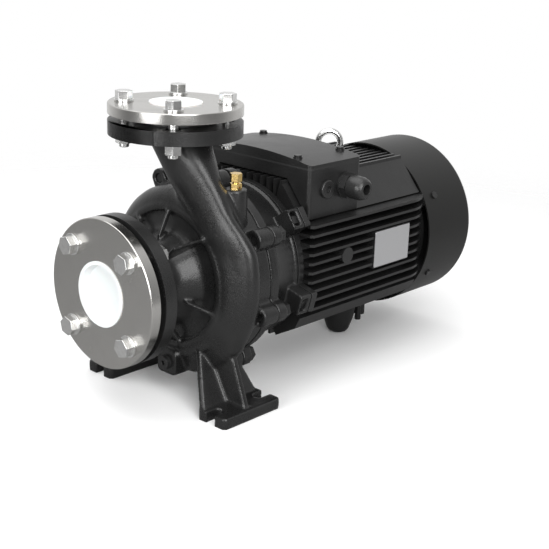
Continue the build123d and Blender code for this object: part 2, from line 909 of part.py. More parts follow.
with BuildPart() as impeller_nut:
    with BuildSketch(across(nut_x)):
        RegularPolygon(nut_across_flats / 2, 6, major_radius=False)
    extrude(amount=nut_height)
    dome = turned(
        (nut_x, 0),
        (nut_x, nut_across_flats * 0.36),
        (nut_x + 6, nut_across_flats * 0.58),
        (nut_x + nut_height, nut_across_flats * 0.58),
        (nut_x + nut_height, 0),
    )
    add(dome, mode=Mode.INTERSECT)
    add(ring(nut_x + 3, nut_x + nut_height, shaft_thread_r), mode=Mode.SUBTRACT)
finish(impeller_nut.part, "impeller_nut")

# Bracket between the casing and the motor

bracket_clamp_r = 100.0
ear_plate = 6.0
ear_turns = (upper_ear_turn, lower_ear_turn, 180 - upper_ear_turn, 180 - lower_ear_turn)
ear_places = [on_circle(ear_bolt_circle_r, turn) for turn in ear_turns]
ear_front_wall = 3.0
ear_side_wall = 4.5

with BuildPart() as motor_bracket:
    add(
        turned(
            (casing_joint_x, bracket_clamp_r),
            (casing_joint_x, casing_flange_r),
            (casing_joint_x + bracket_flange, casing_flange_r),
            (casing_joint_x + bracket_flange, bracket_front_r),
            (motor_face_x - 5, bracket_rear_r - 1),
            (motor_face_x - 4, bracket_rim_r),
            (motor_face_x, bracket_rim_r),
            (motor_face_x, bracket_rear_r - bracket_wall),
        )
    )
    with BuildSketch(across(casing_joint_x)):
        with Locations(*round_shaft(lug_circle_r, lug_count, lug_first_turn)):
            Circle(lug_r)
        with PolarLocations(0, lug_count, start_angle=180 - lug_first_turn):
            with Locations((lug_circle_r - 8, 0)):
                Rectangle(16, 2 * lug_r)
    extrude(amount=bracket_flange)
    with BuildSketch(across(motor_face_x - ear_length)):
        for turn in ear_turns:
            with Locations(Location(on_circle((bracket_rear_r + ear_reach) / 2 - 3, turn), 180 - turn)):
                RectangleRounded(ear_reach - bracket_rear_r + 6, ear_width, 3)
    extrude(amount=ear_length)
    with BuildSketch(across(motor_face_x - ear_length + ear_front_wall)):
        for turn in ear_turns:
            with Locations(Location(on_circle(ear_bolt_circle_r + 2, turn), 180 - turn)):
                Rectangle(26, ear_width - 2 * ear_side_wall)
    extrude(amount=ear_length - ear_front_wall - ear_plate, mode=Mode.SUBTRACT)
    with BuildSketch(across(casing_joint_x)):
        with Locations(*round_shaft(lug_circle_r, lug_count, lug_first_turn)):
            Circle(m12_r + hole_clearance)
    extrude(amount=bracket_flange, mode=Mode.SUBTRACT)
    with BuildSketch(across(motor_face_x - ear_plate)):
        with Locations(*ear_places):
            Circle(m10_r + hole_clearance)
    extrude(amount=ear_plate, mode=Mode.SUBTRACT)
finish(motor_bracket.part, "motor_bracket")

casing_bolt = hex_bolt(m12_r, m12_across_flats, m12_head, bracket_flange + casing_flange_thickness - 2)
casing_bolt_seat = Plane(
    origin=(casing_joint_x + bracket_flange, 0, shaft_height), x_dir=(0, -1, 0), z_dir=(-1, 0, 0)
)
with BuildPart(casing_bolt_seat) as casing_bolts:
    with PolarLocations(lug_circle_r, lug_count, start_angle=lug_first_turn):
        add(casing_bolt)
finish(casing_bolts.part, "casing_bolts")


def ear_group(piece, plane):
    # One copy of a fastener at each ear of the bracket.
    with BuildPart(plane) as group:
        with Locations(*ear_places):
            add(piece)
    return group.part


ear_face_x = motor_face_x - ear_plate
with BuildPart() as m10_stud_piece:
    with BuildSketch(Plane.XY.offset(-m10_nut - 2)):
        Circle(m10_r)
    extrude(amount=m10_nut + 2 + ear_plate + shield_thickness - 1)
finish(ear_group(m10_stud_piece.part, across(ear_face_x)), "bracket_studs")
finish(ear_group(hex_nut(m10_r, m10_across_flats, m10_nut), across(ear_face_x - m10_nut)), "bracket_nuts")

# Shaft, bearings, rotor and stator

front_bearing_x = motor_face_x + 3
front_bearing_end_x = front_bearing_x + bearing_front_width
rotor_x = housing_x + 50
rotor_end_x = rotor_x + rotor_length
rear_bearing_x = housing_end_x - 5
rear_bearing_end_x = rear_bearing_x + bearing_rear_width
fan_x = rear_bearing_end_x + 17
fan_hub_length = 30.0
shaft_end_x = fan_x + fan_hub_length + 5
slinger_x = motor_face_x - 10

with BuildPart() as shaft:
    add(
        turned(
            (nut_x + 4, 0),
            (nut_x + 4, shaft_thread_r),
            (nose_x, shaft_thread_r),
            (nose_x, shaft_impeller_r),
            (hub_back_x, shaft_impeller_r),
            (hub_back_x, shaft_seal_r),
            (casing_joint_x + 20, shaft_seal_r),
            (casing_joint_x + 20, shaft_front_bearing_r),
            (front_bearing_end_x, shaft_front_bearing_r),
            (front_bearing_end_x, shaft_rotor_r + 2),
            (rotor_x, shaft_rotor_r + 2),
            (rotor_x, shaft_rotor_r),
            (rotor_end_x, shaft_rotor_r),
            (rotor_end_x, shaft_rear_bearing_r + 3),
            (rear_bearing_x, shaft_rear_bearing_r + 3),
            (rear_bearing_x, shaft_rear_bearing_r),
            (rear_bearing_end_x, shaft_rear_bearing_r),
            (rear_bearing_end_x, shaft_fan_r),
            (shaft_end_x, shaft_fan_r),
            (shaft_end_x, 0),
        )
    )
    add(bore_key(nose_x + 4, 24), mode=Mode.SUBTRACT)
finish(shaft.part, "shaft")
finish(ring(slinger_x, slinger_x + 6, shaft_front_bearing_r + 14, shaft_front_bearing_r), "slinger")

ball_gap = 0.15
ball_count = 7


def ball_size(outer_r, inner_r):
    return (outer_r - inner_r) * 0.29


def bearing(start_x, width, outer_r, inner_r, name):
    # The two rings of a deep-groove ball bearing, with flat-bottomed grooves.
    pitch_r = (outer_r + inner_r) / 2
    ball_r = ball_size(outer_r, inner_r)
    shoulder = ball_r * 0.6
    depth = ball_r + ball_gap
    mid_x = start_x + width / 2
    end_x = start_x + width
    rings = {}
    for ring_name, side, land_r in (("outer", 1, outer_r), ("inner", -1, inner_r)):
        rings[ring_name] = turned(
            (start_x, land_r),
            (end_x, land_r),
            (end_x, pitch_r + side * shoulder),
            (mid_x + depth * 0.85, pitch_r + side * shoulder),
            (mid_x + depth * 0.42, pitch_r + side * depth),
            (mid_x - depth * 0.42, pitch_r + side * depth),
            (mid_x - depth * 0.85, pitch_r + side * shoulder),
            (start_x, pitch_r + side * shoulder),
        )
    finish(rings["outer"], f"{name}_bearing_outer")
    finish(rings["inner"], f"{name}_bearing_inner")


bearing(front_bearing_x, bearing_front_width, bearing_front_r, shaft_front_bearing_r, "front")
bearing(rear_bearing_x, bearing_rear_width, bearing_rear_r, shaft_rear_bearing_r, "rear")
with BuildPart() as bearing_balls:
    for start_x, width, outer_r, inner_r in (
        (front_bearing_x, bearing_front_width, bearing_front_r, shaft_front_bearing_r),
        (rear_bearing_x, bearing_rear_width, bearing_rear_r, shaft_rear_bearing_r),
    ):
        with Locations(across(start_x + width / 2)):
            with PolarLocations((outer_r + inner_r) / 2, ball_count):
                Sphere(ball_size(outer_r, inner_r))
finish(bearing_balls.part, "bearing_balls")

end_ring = 12.0
with BuildPart() as rotor_core:
    add(ring(rotor_x, rotor_end_x, rotor_r, shaft_rotor_r))
    add(ring(rotor_x - end_ring, rotor_x, rotor_r - 5, rotor_r - 17))
    add(ring(rotor_end_x, rotor_end_x + end_ring, rotor_r - 5, rotor_r - 17))
finish(rotor_core.part, "rotor_core")
finish(ring(rotor_x, rotor_end_x, housing_bore_r, stator_bore_r), "stator_core")

winding_overhang = 20.0
with BuildPart() as stator_winding:
    add(ring(rotor_x - winding_overhang, rotor_x, housing_bore_r - 8, stator_bore_r + 5))
    add(ring(rotor_end_x, rotor_end_x + winding_overhang, housing_bore_r - 8, stator_bore_r + 5))
finish(stator_winding.part, "stator_winding")

# Motor housing and end shields

shoulder_top = (58.0, 113.0)
shoulder_side = (98.0, 66.0)
lower_side = (101.0, -64.0)
lower_bottom = (60.0, -98.0)
bottom_fin_count = 9
bottom_fin_reach = 99.0
fin_root_r = 70.0
spigot_depth = 4.0
plate_x = 243.0
plate_length = 78.0
plate_bottom = -18.0
plate_height = 52.0
pad_y = 118.0
boss_x = 187.0
boss_height = 12.0
boss_r = 11.0
eye_bolt_x = 279.0
eye_seat = 113.2
leg_x = 320.0
leg_top = 50.0
rear_lug_x = 352.0
rear_lug_length = 14.0
rear_lug_half = 16.0
rear_lug_bottom = 21.0
rear_pin_r = 4.5
rear_pin_y = 14.0
rear_pin_bottom = 15.0
terminal_pad_x = 140.0
terminal_pad_length = 72.0


with BuildPart() as motor_housing:
    with BuildSketch(across(housing_x)):
        Circle(housing_core_r)
        for side in (1, -1):
            for corners in (
                ((50, 80), (shoulder_top[0], shoulder_top[1]), shoulder_side, (80, 50)),
                ((50, -80), lower_bottom, (lower_side[0] - 8, lower_side[1] - 16), lower_side, (80, -50)),
            ):
                with BuildLine():
                    Polyline(*[(side * y, z) for y, z in corners], close=True)
                make_face()
            with Locations((side * (fin_root_r + side_fin_reach) / 2, side_fin_top - side_fin_pitch * 4.5)):
                with GridLocations(0, side_fin_pitch, 1, side_fin_count):
                    Rectangle(side_fin_reach - fin_root_r, fin_thickness)
        with Locations((0, (fin_root_r + top_fin_reach) / 2)):
            with GridLocations(top_fin_pitch, 0, top_fin_count, 1):
                Rectangle(fin_thickness, top_fin_reach - fin_root_r)
        with Locations((0, -(fin_root_r + bottom_fin_reach) / 2)):
            with GridLocations(top_fin_pitch, 0, bottom_fin_count, 1):
                Rectangle(fin_thickness, bottom_fin_reach - fin_root_r)
    extrude(amount=housing_length)
    # In plan the side fins draw in towards the fan cover.
    with BuildSketch(Plane.XY.offset(shaft_height)):
        with BuildLine():
            for side in (1, -1):
                ThreePointArc(
                    (housing_end_x - fin_end_length - 13, side * side_fin_reach),
                    (housing_end_x - 15, side * (side_fin_reach - 4)),
                    (housing_end_x, side * fin_end_reach),
                )
                Line(
                    (housing_x + 4, side * side_fin_reach),
                    (housing_end_x - fin_end_length - 13, side * side_fin_reach),
                )
                Line((housing_x, side * (side_fin_reach - 4)), (housing_x + 4, side * side_fin_reach))
            Line((housing_x, 4 - side_fin_reach), (housing_x, side_fin_reach - 4))
            Line((housing_end_x, -fin_end_reach), (housing_end_x, fin_end_reach))
        make_face()
    extrude(amount=shaft_height, both=True, mode=Mode.INTERSECT)
    with BuildSketch(Plane.XZ.offset(housing_core_r - 20)):
        with Locations((plate_x + plate_length / 2, shaft_height + plate_bottom + plate_height / 2)):
            Rectangle(plate_length, plate_height)
        with Locations((boss_x, shaft_height + boss_height)):
            Circle(boss_r)
    extrude(amount=pad_y - housing_core_r + 20)
    with BuildSketch(Plane.XY.offset(shaft_height + fin_root_r)):
        with Locations((terminal_pad_x + terminal_pad_length / 2, 0)):
            Rectangle(terminal_pad_length, 104)
    extrude(amount=box_seat - fin_root_r)
    add(post(eye_bolt_x, 0, shaft_height + fin_root_r, shaft_height + eye_seat, 16))
    with BuildSketch(Plane.XY.offset(leg_top)):
        with Locations((leg_x, 0)):
            RectangleRounded(58, 62, 8)
    extrude(amount=shaft_height - leg_top - fin_root_r)
    with BuildSketch(Plane.XY.offset(rear_lug_bottom)):
        with Locations((rear_lug_x + rear_lug_length / 2, 0)):
            RectangleRounded(rear_lug_length, 2 * rear_lug_half, 5)
    extrude(amount=shaft_height - rear_lug_bottom - fin_root_r)
    for side in (1, -1):
        pin_x = rear_lug_x + 2 - rear_pin_r
        add(post(pin_x, side * rear_pin_y, rear_pin_bottom, shaft_height - housing_core_r + 3, rear_pin_r))
    add(ring(housing_x, housing_end_x, housing_bore_r), mode=Mode.SUBTRACT)
    add(post(eye_bolt_x, 0, shaft_height + eye_seat - 18, shaft_height + eye_seat, m12_r), mode=Mode.SUBTRACT)
finish(motor_housing.part, "motor_housing")

spigot_fit_r = housing_bore_r - 0.1
with BuildPart() as front_end_shield:
    add(
        turned(
            (motor_face_x, shaft_front_bearing_r + shaft_clearance),
            (motor_face_x, bracket_rim_r),
            (housing_x, bracket_rim_r),
            (housing_x, spigot_fit_r),
            (housing_x + spigot_depth, spigot_fit_r),
            (housing_x + spigot_depth, spigot_fit_r - 6),
            (housing_x - 2, spigot_fit_r - 12),
            (housing_x - 2, bearing_front_r + 14),
            (front_bearing_end_x + 2, bearing_front_r + 9),
            (front_bearing_end_x + 2, bearing_front_r),
            (front_bearing_x, bearing_front_r),
            (front_bearing_x, shaft_front_bearing_r + shaft_clearance),
        )
    )
    with BuildSketch(across(motor_face_x)):
        for turn in ear_turns:
            with Locations(Location(on_circle((bracket_rear_r + ear_reach) / 2 - 3, turn), 180 - turn)):
                RectangleRounded(ear_reach - bracket_rear_r + 6, ear_width, 3)
    extrude(amount=shield_thickness)
    with BuildSketch(across(motor_face_x)):
        with Locations(*ear_places):
            Circle(m10_r)
    extrude(amount=shield_thickness, mode=Mode.SUBTRACT)
finish(front_end_shield.part, "front_end_shield")

rear_disc_r = 104.0
cover_screw_turn = 29.0
cover_screw_r = 2.5
cover_screw_x = housing_end_x + 26
cover_lug_end_x = cover_screw_x + 7
cover_inner_r = fan_cover_r - fan_cover_wall
cover_lug_gap = 0.2
fan_cover_x = housing_end_x + 2
fan_cover_end_x = fan_cover_x + fan_cover_length
cover_screw_turns = (cover_screw_turn, -cover_screw_turn, 180 - cover_screw_turn, 180 + cover_screw_turn)


def cover_screw_holes(r, inner_r, outer_r):
    # Radial pins at the four fan-cover screws, for the screws and for their holes.
    with BuildPart() as pins:
        for turn in cover_screw_turns:
            y, z = on_circle(1.0, turn)
            outwards = Plane(origin=(cover_screw_x, 0, shaft_height), x_dir=(1, 0, 0), z_dir=(0, y, z))
            with BuildSketch(outwards.offset(inner_r)):
                Circle(r)
            extrude(amount=outer_r - inner_r)
    return pins.part


with BuildPart() as rear_end_shield:
    add(
        turned(
            (housing_end_x - spigot_depth, spigot_fit_r),
            (housing_end_x, spigot_fit_r),
            (housing_end_x, rear_disc_r),
            (housing_end_x + shield_thickness, rear_disc_r),
            (housing_end_x + shield_thickness, bearing_rear_r + 17),
            (rear_bearing_end_x + 5, bearing_rear_r + 9),
            (rear_bearing_end_x + 5, shaft_fan_r + shaft_clearance),
            (rear_bearing_end_x, shaft_fan_r + shaft_clearance),
            (rear_bearing_end_x, bearing_rear_r),
            (rear_bearing_x - 2, bearing_rear_r),
            (rear_bearing_x - 2, bearing_rear_r + 9),
            (housing_end_x + 2, bearing_rear_r + 17),
            (housing_end_x + 2, spigot_fit_r - 8),
            (housing_end_x - spigot_depth, spigot_fit_r - 6),
        )
    )
    with BuildSketch(across(housing_end_x + 2)):
        for turn in cover_screw_turns:
            with Locations(Location(on_circle(fan_cover_r - 13, turn), 180 - turn)):
                Rectangle(24, 20)
        Circle(cover_inner_r - cover_lug_gap, mode=Mode.INTERSECT)
    extrude(amount=cover_lug_end_x - housing_end_x - 2)
    add(cover_screw_holes(cover_screw_r, fan_cover_r - 14, fan_cover_r), mode=Mode.SUBTRACT)
finish(rear_end_shield.part, "rear_end_shield")

# Fan, fan cover and its screws

fan_blade = 2.5
fan_blade_count = 8
fan_plate = 3.0
fan_plate_r = 62.0
fan_blade_r = cover_inner_r - 24
fan_hub_r = 20.0
with BuildPart() as fan:
    add(ring(fan_x, fan_x + fan_hub_length, fan_hub_r, shaft_fan_r))
    add(ring(fan_x, fan_x + fan_plate, fan_plate_r, shaft_fan_r))
    with BuildSketch(across(fan_x)):
        with PolarLocations((fan_hub_r + fan_blade_r) / 2 - 1, fan_blade_count):
            Rectangle(fan_blade_r - fan_hub_r + 2, fan_blade)
    extrude(amount=fan_hub_length - 4)
finish(fan.part, "fan")

cover_corner_r = 9.0
grille_rows = ((30.0, 62.0, 16), (68.0, 102.0, 28))
grille_slot = 5.0
with BuildPart() as fan_cover:
    with BuildSketch(lengthwise):
        with BuildLine():
            FilletPolyline(
                (fan_cover_x, fan_cover_r),
                (fan_cover_end_x, fan_cover_r),
                (fan_cover_end_x, 0),
                radius=cover_corner_r,
            )
            Line((fan_cover_end_x, 0), (fan_cover_end_x - fan_cover_wall, 0))
            FilletPolyline(
                (fan_cover_end_x - fan_cover_wall, 0),
                (fan_cover_end_x - fan_cover_wall, cover_inner_r),
                (fan_cover_x, cover_inner_r),
                radius=cover_corner_r - fan_cover_wall,
            )
            Line((fan_cover_x, cover_inner_r), (fan_cover_x, fan_cover_r))
        make_face()
    revolve(axis=shaft_line)
    with BuildSketch(across(fan_cover_end_x)):
        for inner_r, outer_r, count in grille_rows:
            with PolarLocations((inner_r + outer_r) / 2, count):
                Rectangle(outer_r - inner_r, grille_slot)
    extrude(amount=-2 * fan_cover_wall, mode=Mode.SUBTRACT)
    add(cover_screw_holes(cover_screw_r + 0.3, cover_inner_r - 2, fan_cover_r + 2), mode=Mode.SUBTRACT)
finish(fan_cover.part, "fan_cover")

with BuildPart() as fan_cover_screws:
    add(cover_screw_holes(cover_screw_r, fan_cover_r - 13, fan_cover_r))
    add(cover_screw_holes(2 * cover_screw_r, fan_cover_r, fan_cover_r + 2.5))
finish(fan_cover_screws.part, "fan_cover_screws")

# Support leg, eye bolt and nameplate

with BuildPart() as support_leg:
    with BuildSketch(Plane.XZ):
        with BuildLine():
            Polyline(
                (leg_x, 0),
                (leg_x + 9, 0),
                (leg_x + 14, 2.5),
                (leg_x + 17, 7),
                (leg_x + 22, 22),
                (leg_x + 27, leg_top),
                (leg_x, leg_top),
                close=True,
            )
        make_face()
    revolve(axis=Axis((leg_x, 0, 0), (0, 0, 1)))
finish(support_leg.part, "support_leg")

eye_ring_r = 20.5
eye_wire_r = 5.5
eye_collar_r = 15.0
eye_turn = -45.0
eye_collar = 6.0
eye_height = eye_ring_r + eye_wire_r
with BuildPart() as eye_bolt:
    with BuildSketch():
        Circle(m12_r)
    extrude(amount=-17)
    with BuildSketch():
        Circle(eye_collar_r)
    extrude(amount=eye_collar)
    with BuildSketch(Plane.XY.offset(eye_height)):
        with Locations((eye_ring_r, 0)):
            RegularPolygon(eye_wire_r, 12, major_radius=False)
    revolve(axis=Axis((0, 0, eye_height), (0, 1, 0)))
eye_place = Location((eye_bolt_x, 0, shaft_height + eye_seat), (0, 0, eye_turn))
finish(eye_bolt.part.moved(eye_place), "eye_bolt")

with BuildPart() as nameplate:
    with BuildSketch(Plane.XZ.offset(pad_y)):
        with Locations((plate_x + plate_length / 2, shaft_height + plate_bottom + plate_height / 2)):
            RectangleRounded(plate_length - 2, plate_height - 2, 2)
    extrude(amount=0.8)
finish(nameplate.part, "nameplate")

# Terminal box

box_mid_x = box_x + box_length / 2
skirt_edge = box_half_width - 0.5
inner_half = box_half_width - box_wall - 1
box_floor = box_seat + 4.5
box_corner_r = 6.0
box_post_r = 6.0
post_half_x = box_length / 2 - 9
post_half_y = 70.0
post_bottom = box_seat - 3
cover_screw_top = cover_rim + 10.5
entry_r = 10.0
box_bolt_r = 2.5


def box_posts(r, bottom, top):
    with BuildPart() as posts:
        with BuildSketch(Plane.XY.offset(shaft_height + bottom)):
            with Locations((box_mid_x, 0)):
                with GridLocations(2 * post_half_x, 2 * post_half_y, 2, 2):
                    Circle(r)
        extrude(amount=top - bottom)
    return posts.part


with BuildPart() as terminal_box_base:
    with BuildSketch(across(box_x)):
        with BuildLine():
            Polyline(
                (-box_half_width, box_rim),
                (-box_half_width, box_skirt),
                (-skirt_edge, box_skirt),
                (-shoulder_top[0] - 3, box_seat),
                (shoulder_top[0] + 3, box_seat),
                (skirt_edge, box_skirt),
                (box_half_width, box_skirt),
                (box_half_width, box_rim),
                close=True,
            )
        make_face()
    extrude(amount=box_length)
    upright_corners = terminal_box_base.edges().filter_by(Axis.Z).group_by(SortBy.LENGTH)[-1]
    fillet(upright_corners, box_corner_r)
    with BuildSketch(across(box_x + box_wall)):
        with BuildLine():
            Polyline(
                (-inner_half, box_rim),
                (-inner_half, box_skirt + 13),
                (-shoulder_top[0] - 6, box_floor),
                (shoulder_top[0] + 6, box_floor),
                (inner_half, box_skirt + 13),
                (inner_half, box_rim),
                close=True,
            )
        make_face()
    extrude(amount=box_length - 2 * box_wall, mode=Mode.SUBTRACT)
    add(box_posts(box_post_r, post_bottom, box_rim))
    add(box_posts(box_bolt_r, box_rim - 16, box_rim), mode=Mode.SUBTRACT)
    with BuildSketch(Plane.XZ.offset(box_half_width)):
        with Locations((gland_x, shaft_height + entry_height), (blank_x, shaft_height + entry_height)):
            Circle(entry_r)
    extrude(amount=-box_wall - 1, mode=Mode.SUBTRACT)
finish(terminal_box_base.part, "terminal_box_base")

with BuildPart() as terminal_box_gasket:
    with BuildSketch(Plane.XY.offset(shaft_height + box_rim)):
        with Locations((box_mid_x, 0)):
            RectangleRounded(box_length, 2 * box_half_width, box_corner_r)
            Rectangle(box_length - 2 * box_wall, 2 * inner_half, mode=Mode.SUBTRACT)
            with GridLocations(2 * post_half_x, 2 * post_half_y, 2, 2):
                Circle(box_post_r + 0.5)
            with GridLocations(2 * post_half_x, 2 * post_half_y, 2, 2):
                Circle(box_bolt_r, mode=Mode.SUBTRACT)
    extrude(amount=box_gasket)
finish(terminal_box_gasket.part, "terminal_box_gasket")


def cover_arch(start_x, length, half_width, bottom, edge, crown):
    # A low arch seen along the shaft, drawn out along it.
    with BuildPart() as arch:
        with BuildSketch(across(start_x)):
            with BuildLine():
                Polyline((-half_width, edge), (-half_width, bottom), (half_width, bottom), (half_width, edge))
                ThreePointArc((half_width, edge), (0, crown), (-half_width, edge))
            make_face()
        extrude(amount=length)
    return arch.part


with BuildPart() as terminal_box_cover:
    add(
        cover_arch(
            box_x, box_length, box_half_width, cover_rim, cover_rim + cover_edge, cover_rim + cover_crown
        )
    )
    fillet(terminal_box_cover.edges().filter_by(Axis.Z), box_corner_r)
    add(
        cover_arch(
            box_x + box_wall,
            box_length - 2 * box_wall,
            box_half_width - box_wall,
            cover_rim,
            cover_rim + cover_edge - cover_wall + 0.5,
            cover_rim + cover_crown - cover_wall,
        ),
        mode=Mode.SUBTRACT,
    )
    add(box_posts(box_post_r, cover_rim, cover_screw_top))
    add(box_posts(box_bolt_r + 0.3, cover_rim, cover_screw_top), mode=Mode.SUBTRACT)
finish(terminal_box_cover.part, "terminal_box_cover")

with BuildPart() as terminal_box_screws:
    add(box_posts(box_bolt_r, box_rim - 15, cover_screw_top))
    add(box_posts(2 * box_bolt_r, cover_screw_top, cover_screw_top + 2.5))
finish(terminal_box_screws.part, "terminal_box_screws")

board_length = 52.0
board_width = 84.0
board_height = 5.0
with BuildPart() as terminal_board:
    with BuildSketch(Plane.XY.offset(shaft_height + box_floor)):
        with Locations((box_mid_x, 0)):
            Rectangle(board_length, board_width)
    extrude(amount=board_height)
    with BuildSketch(Plane.XY.offset(shaft_height + box_floor + board_height)):
        with Locations((box_mid_x, 0)):
            with GridLocations(28, 26, 2, 3):
                Circle(box_bolt_r)
    extrude(amount=7)
finish(terminal_board.part, "terminal_board")

# Cable gland and blanking plug, drawn along +Z from the wall of the box and then set on it

gland_place = Plane(
    origin=(gland_x, -box_half_width, shaft_height + entry_height), x_dir=(1, 0, 0), z_dir=(0, -1, 0)
)
blank_place = Plane(
    origin=(blank_x, -box_half_width, shaft_height + entry_height), x_dir=(1, 0, 0), z_dir=(0, -1, 0)
)
gland_neck_r = 13.0
gland_seal_r = 10.5
gland_collar = 3.0
gland_hex = 9.0
gland_neck = 12.0
gland_across_flats = 30.0
gland_nut_r = 15.5
gland_nut_start = gland_collar + gland_hex + 0.5
gland_neck_end = gland_collar + gland_hex + gland_neck
gland_end = 37.0


def upright_turned(*outline):
    # A body turned about the Z axis, from its corners as (radius, height).
    with BuildPart() as body:
        with BuildSketch(Plane.XZ):
            with BuildLine():
                Polyline(*outline, close=True)
            make_face()
        revolve(axis=Axis.Z)
    return body.part


with BuildPart() as cable_gland_body:
    add(
        upright_turned(
            (gland_bore_r, -box_wall),
            (entry_r, -box_wall),
            (entry_r, 0),
            (gland_across_flats / 2 + 2, 0),
            (gland_across_flats / 2 + 2, gland_collar),
            (gland_neck_r, gland_collar),
            (gland_neck_r, gland_neck_end),
            (gland_seal_r, gland_neck_end),
            (gland_seal_r, gland_collar + gland_hex),
            (gland_bore_r, gland_collar + gland_hex),
        )
    )
    with BuildSketch(Plane.XY.offset(gland_collar)):
        RegularPolygon(gland_across_flats / 2, 6, major_radius=False)
        Circle(gland_neck_r - 1, mode=Mode.SUBTRACT)
    extrude(amount=gland_hex)
finish(cable_gland_body.part.moved(gland_place.location), "cable_gland_body")
finish(
    upright_turned(
        (gland_bore_r, gland_collar + gland_hex),
        (gland_seal_r, gland_collar + gland_hex),
        (gland_seal_r, gland_neck_end + 1),
        (gland_bore_r, gland_neck_end + 1),
    ).moved(gland_place.location),
    "cable_gland_seal",
)
finish(
    upright_turned(
        (gland_neck_r, gland_nut_start),
        (gland_nut_r, gland_nut_start),
        (gland_nut_r, gland_end - 9),
        (gland_nut_r - 2, gland_end - 3),
        (gland_nut_r - 5, gland_end),
        (gland_bore_r, gland_end),
        (gland_bore_r, gland_neck_end + 4),
        (gland_neck_r, gland_neck_end + 1),
    ).moved(gland_place.location),
    "cable_gland_nut",
)

with BuildPart() as blanking_plug:
    with BuildSketch():
        Circle(entry_r)
    extrude(amount=-box_wall)
    with BuildSketch():
        Circle(entry_r + 2)
    extrude(amount=4)
    chamfer(blanking_plug.edges().filter_by(GeomType.CIRCLE).sort_by(Axis.Z)[-1], 1)
    with BuildSketch(Plane.XY.offset(4)):
        RegularPolygon(4.5, 6, major_radius=False)
    extrude(amount=-3, mode=Mode.SUBTRACT)
finish(blanking_plug.part.moved(blank_place.location), "blanking_plug")
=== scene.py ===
import json
import math

import bpy
from mathutils import Matrix, Vector

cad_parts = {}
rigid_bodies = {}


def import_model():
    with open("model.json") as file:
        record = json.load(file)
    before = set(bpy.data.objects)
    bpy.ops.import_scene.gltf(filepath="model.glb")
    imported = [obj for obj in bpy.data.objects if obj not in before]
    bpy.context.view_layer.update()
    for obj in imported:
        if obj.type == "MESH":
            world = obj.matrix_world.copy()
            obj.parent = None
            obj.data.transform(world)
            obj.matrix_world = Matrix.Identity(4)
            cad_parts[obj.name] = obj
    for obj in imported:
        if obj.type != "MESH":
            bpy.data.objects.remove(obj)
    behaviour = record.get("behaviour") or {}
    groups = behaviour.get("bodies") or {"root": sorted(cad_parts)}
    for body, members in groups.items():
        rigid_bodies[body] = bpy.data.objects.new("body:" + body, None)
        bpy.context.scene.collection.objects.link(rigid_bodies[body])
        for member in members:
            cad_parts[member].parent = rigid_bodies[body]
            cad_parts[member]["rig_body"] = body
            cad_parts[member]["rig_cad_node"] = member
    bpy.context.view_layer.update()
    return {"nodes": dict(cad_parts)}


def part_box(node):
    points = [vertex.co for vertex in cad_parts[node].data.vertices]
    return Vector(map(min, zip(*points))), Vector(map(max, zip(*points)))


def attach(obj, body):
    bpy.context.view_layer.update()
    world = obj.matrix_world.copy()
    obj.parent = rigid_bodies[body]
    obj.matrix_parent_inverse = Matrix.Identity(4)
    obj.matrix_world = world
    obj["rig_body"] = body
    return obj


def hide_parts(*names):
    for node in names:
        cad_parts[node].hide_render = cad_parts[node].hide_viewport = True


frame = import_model()
nodes = frame["nodes"]
print("frame loaded:", len(nodes), "nodes")


def middleOf(node):
    return [(low + high) / 2 for low, high in zip(*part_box(node))]


shaftHeight = middleOf("suction_counter_flange")[2]
dischargeX = middleOf("discharge_counter_flange")[0]
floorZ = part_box("casing")[0].z


class Wire:
    # One output of a node, so that patterns can be written as sums and products

    def __init__(self, graph, socket):
        self.graph = graph
        self.socket = socket

    def maths(self, operation, *values):
        return self.graph.node("ShaderNodeMath", {"operation": operation}, dict(enumerate(values)))

    def __add__(self, other):
        return self.maths("ADD", self, other)

    def __radd__(self, other):
        return self.maths("ADD", other, self)

    def __sub__(self, other):
        return self.maths("SUBTRACT", self, other)

    def __rsub__(self, other):
        return self.maths("SUBTRACT", other, self)

    def __mul__(self, other):
        return self.maths("MULTIPLY", self, other)

    def __rmul__(self, other):
        return self.maths("MULTIPLY", other, self)

    def __pow__(self, other):
        return self.maths("POWER", self, other)


class Graph:
    # The nodes of a material or of the world

    def __init__(self, tree):
        self.tree = tree

    def node(self, kind, settings=None, values=None, out=0):
        made = self.tree.nodes.new(kind)
        for name, setting in (settings or {}).items():
            setattr(made, name, setting)
        for name, value in (values or {}).items():
            if isinstance(value, Wire):
                self.tree.links.new(value.socket, made.inputs[name])
            else:
                made.inputs[name].default_value = value
        return Wire(self, made.outputs[out])

    def mask(self, wire, low, high, least=0.0, most=1.0):
        # From the least at the low value to the most at the high one, softly
        return self.node(
            "ShaderNodeMapRange",
            {"interpolation_type": "SMOOTHSTEP"},
            {"Value": wire, "From Min": low, "From Max": high, "To Min": least, "To Max": most},
        )


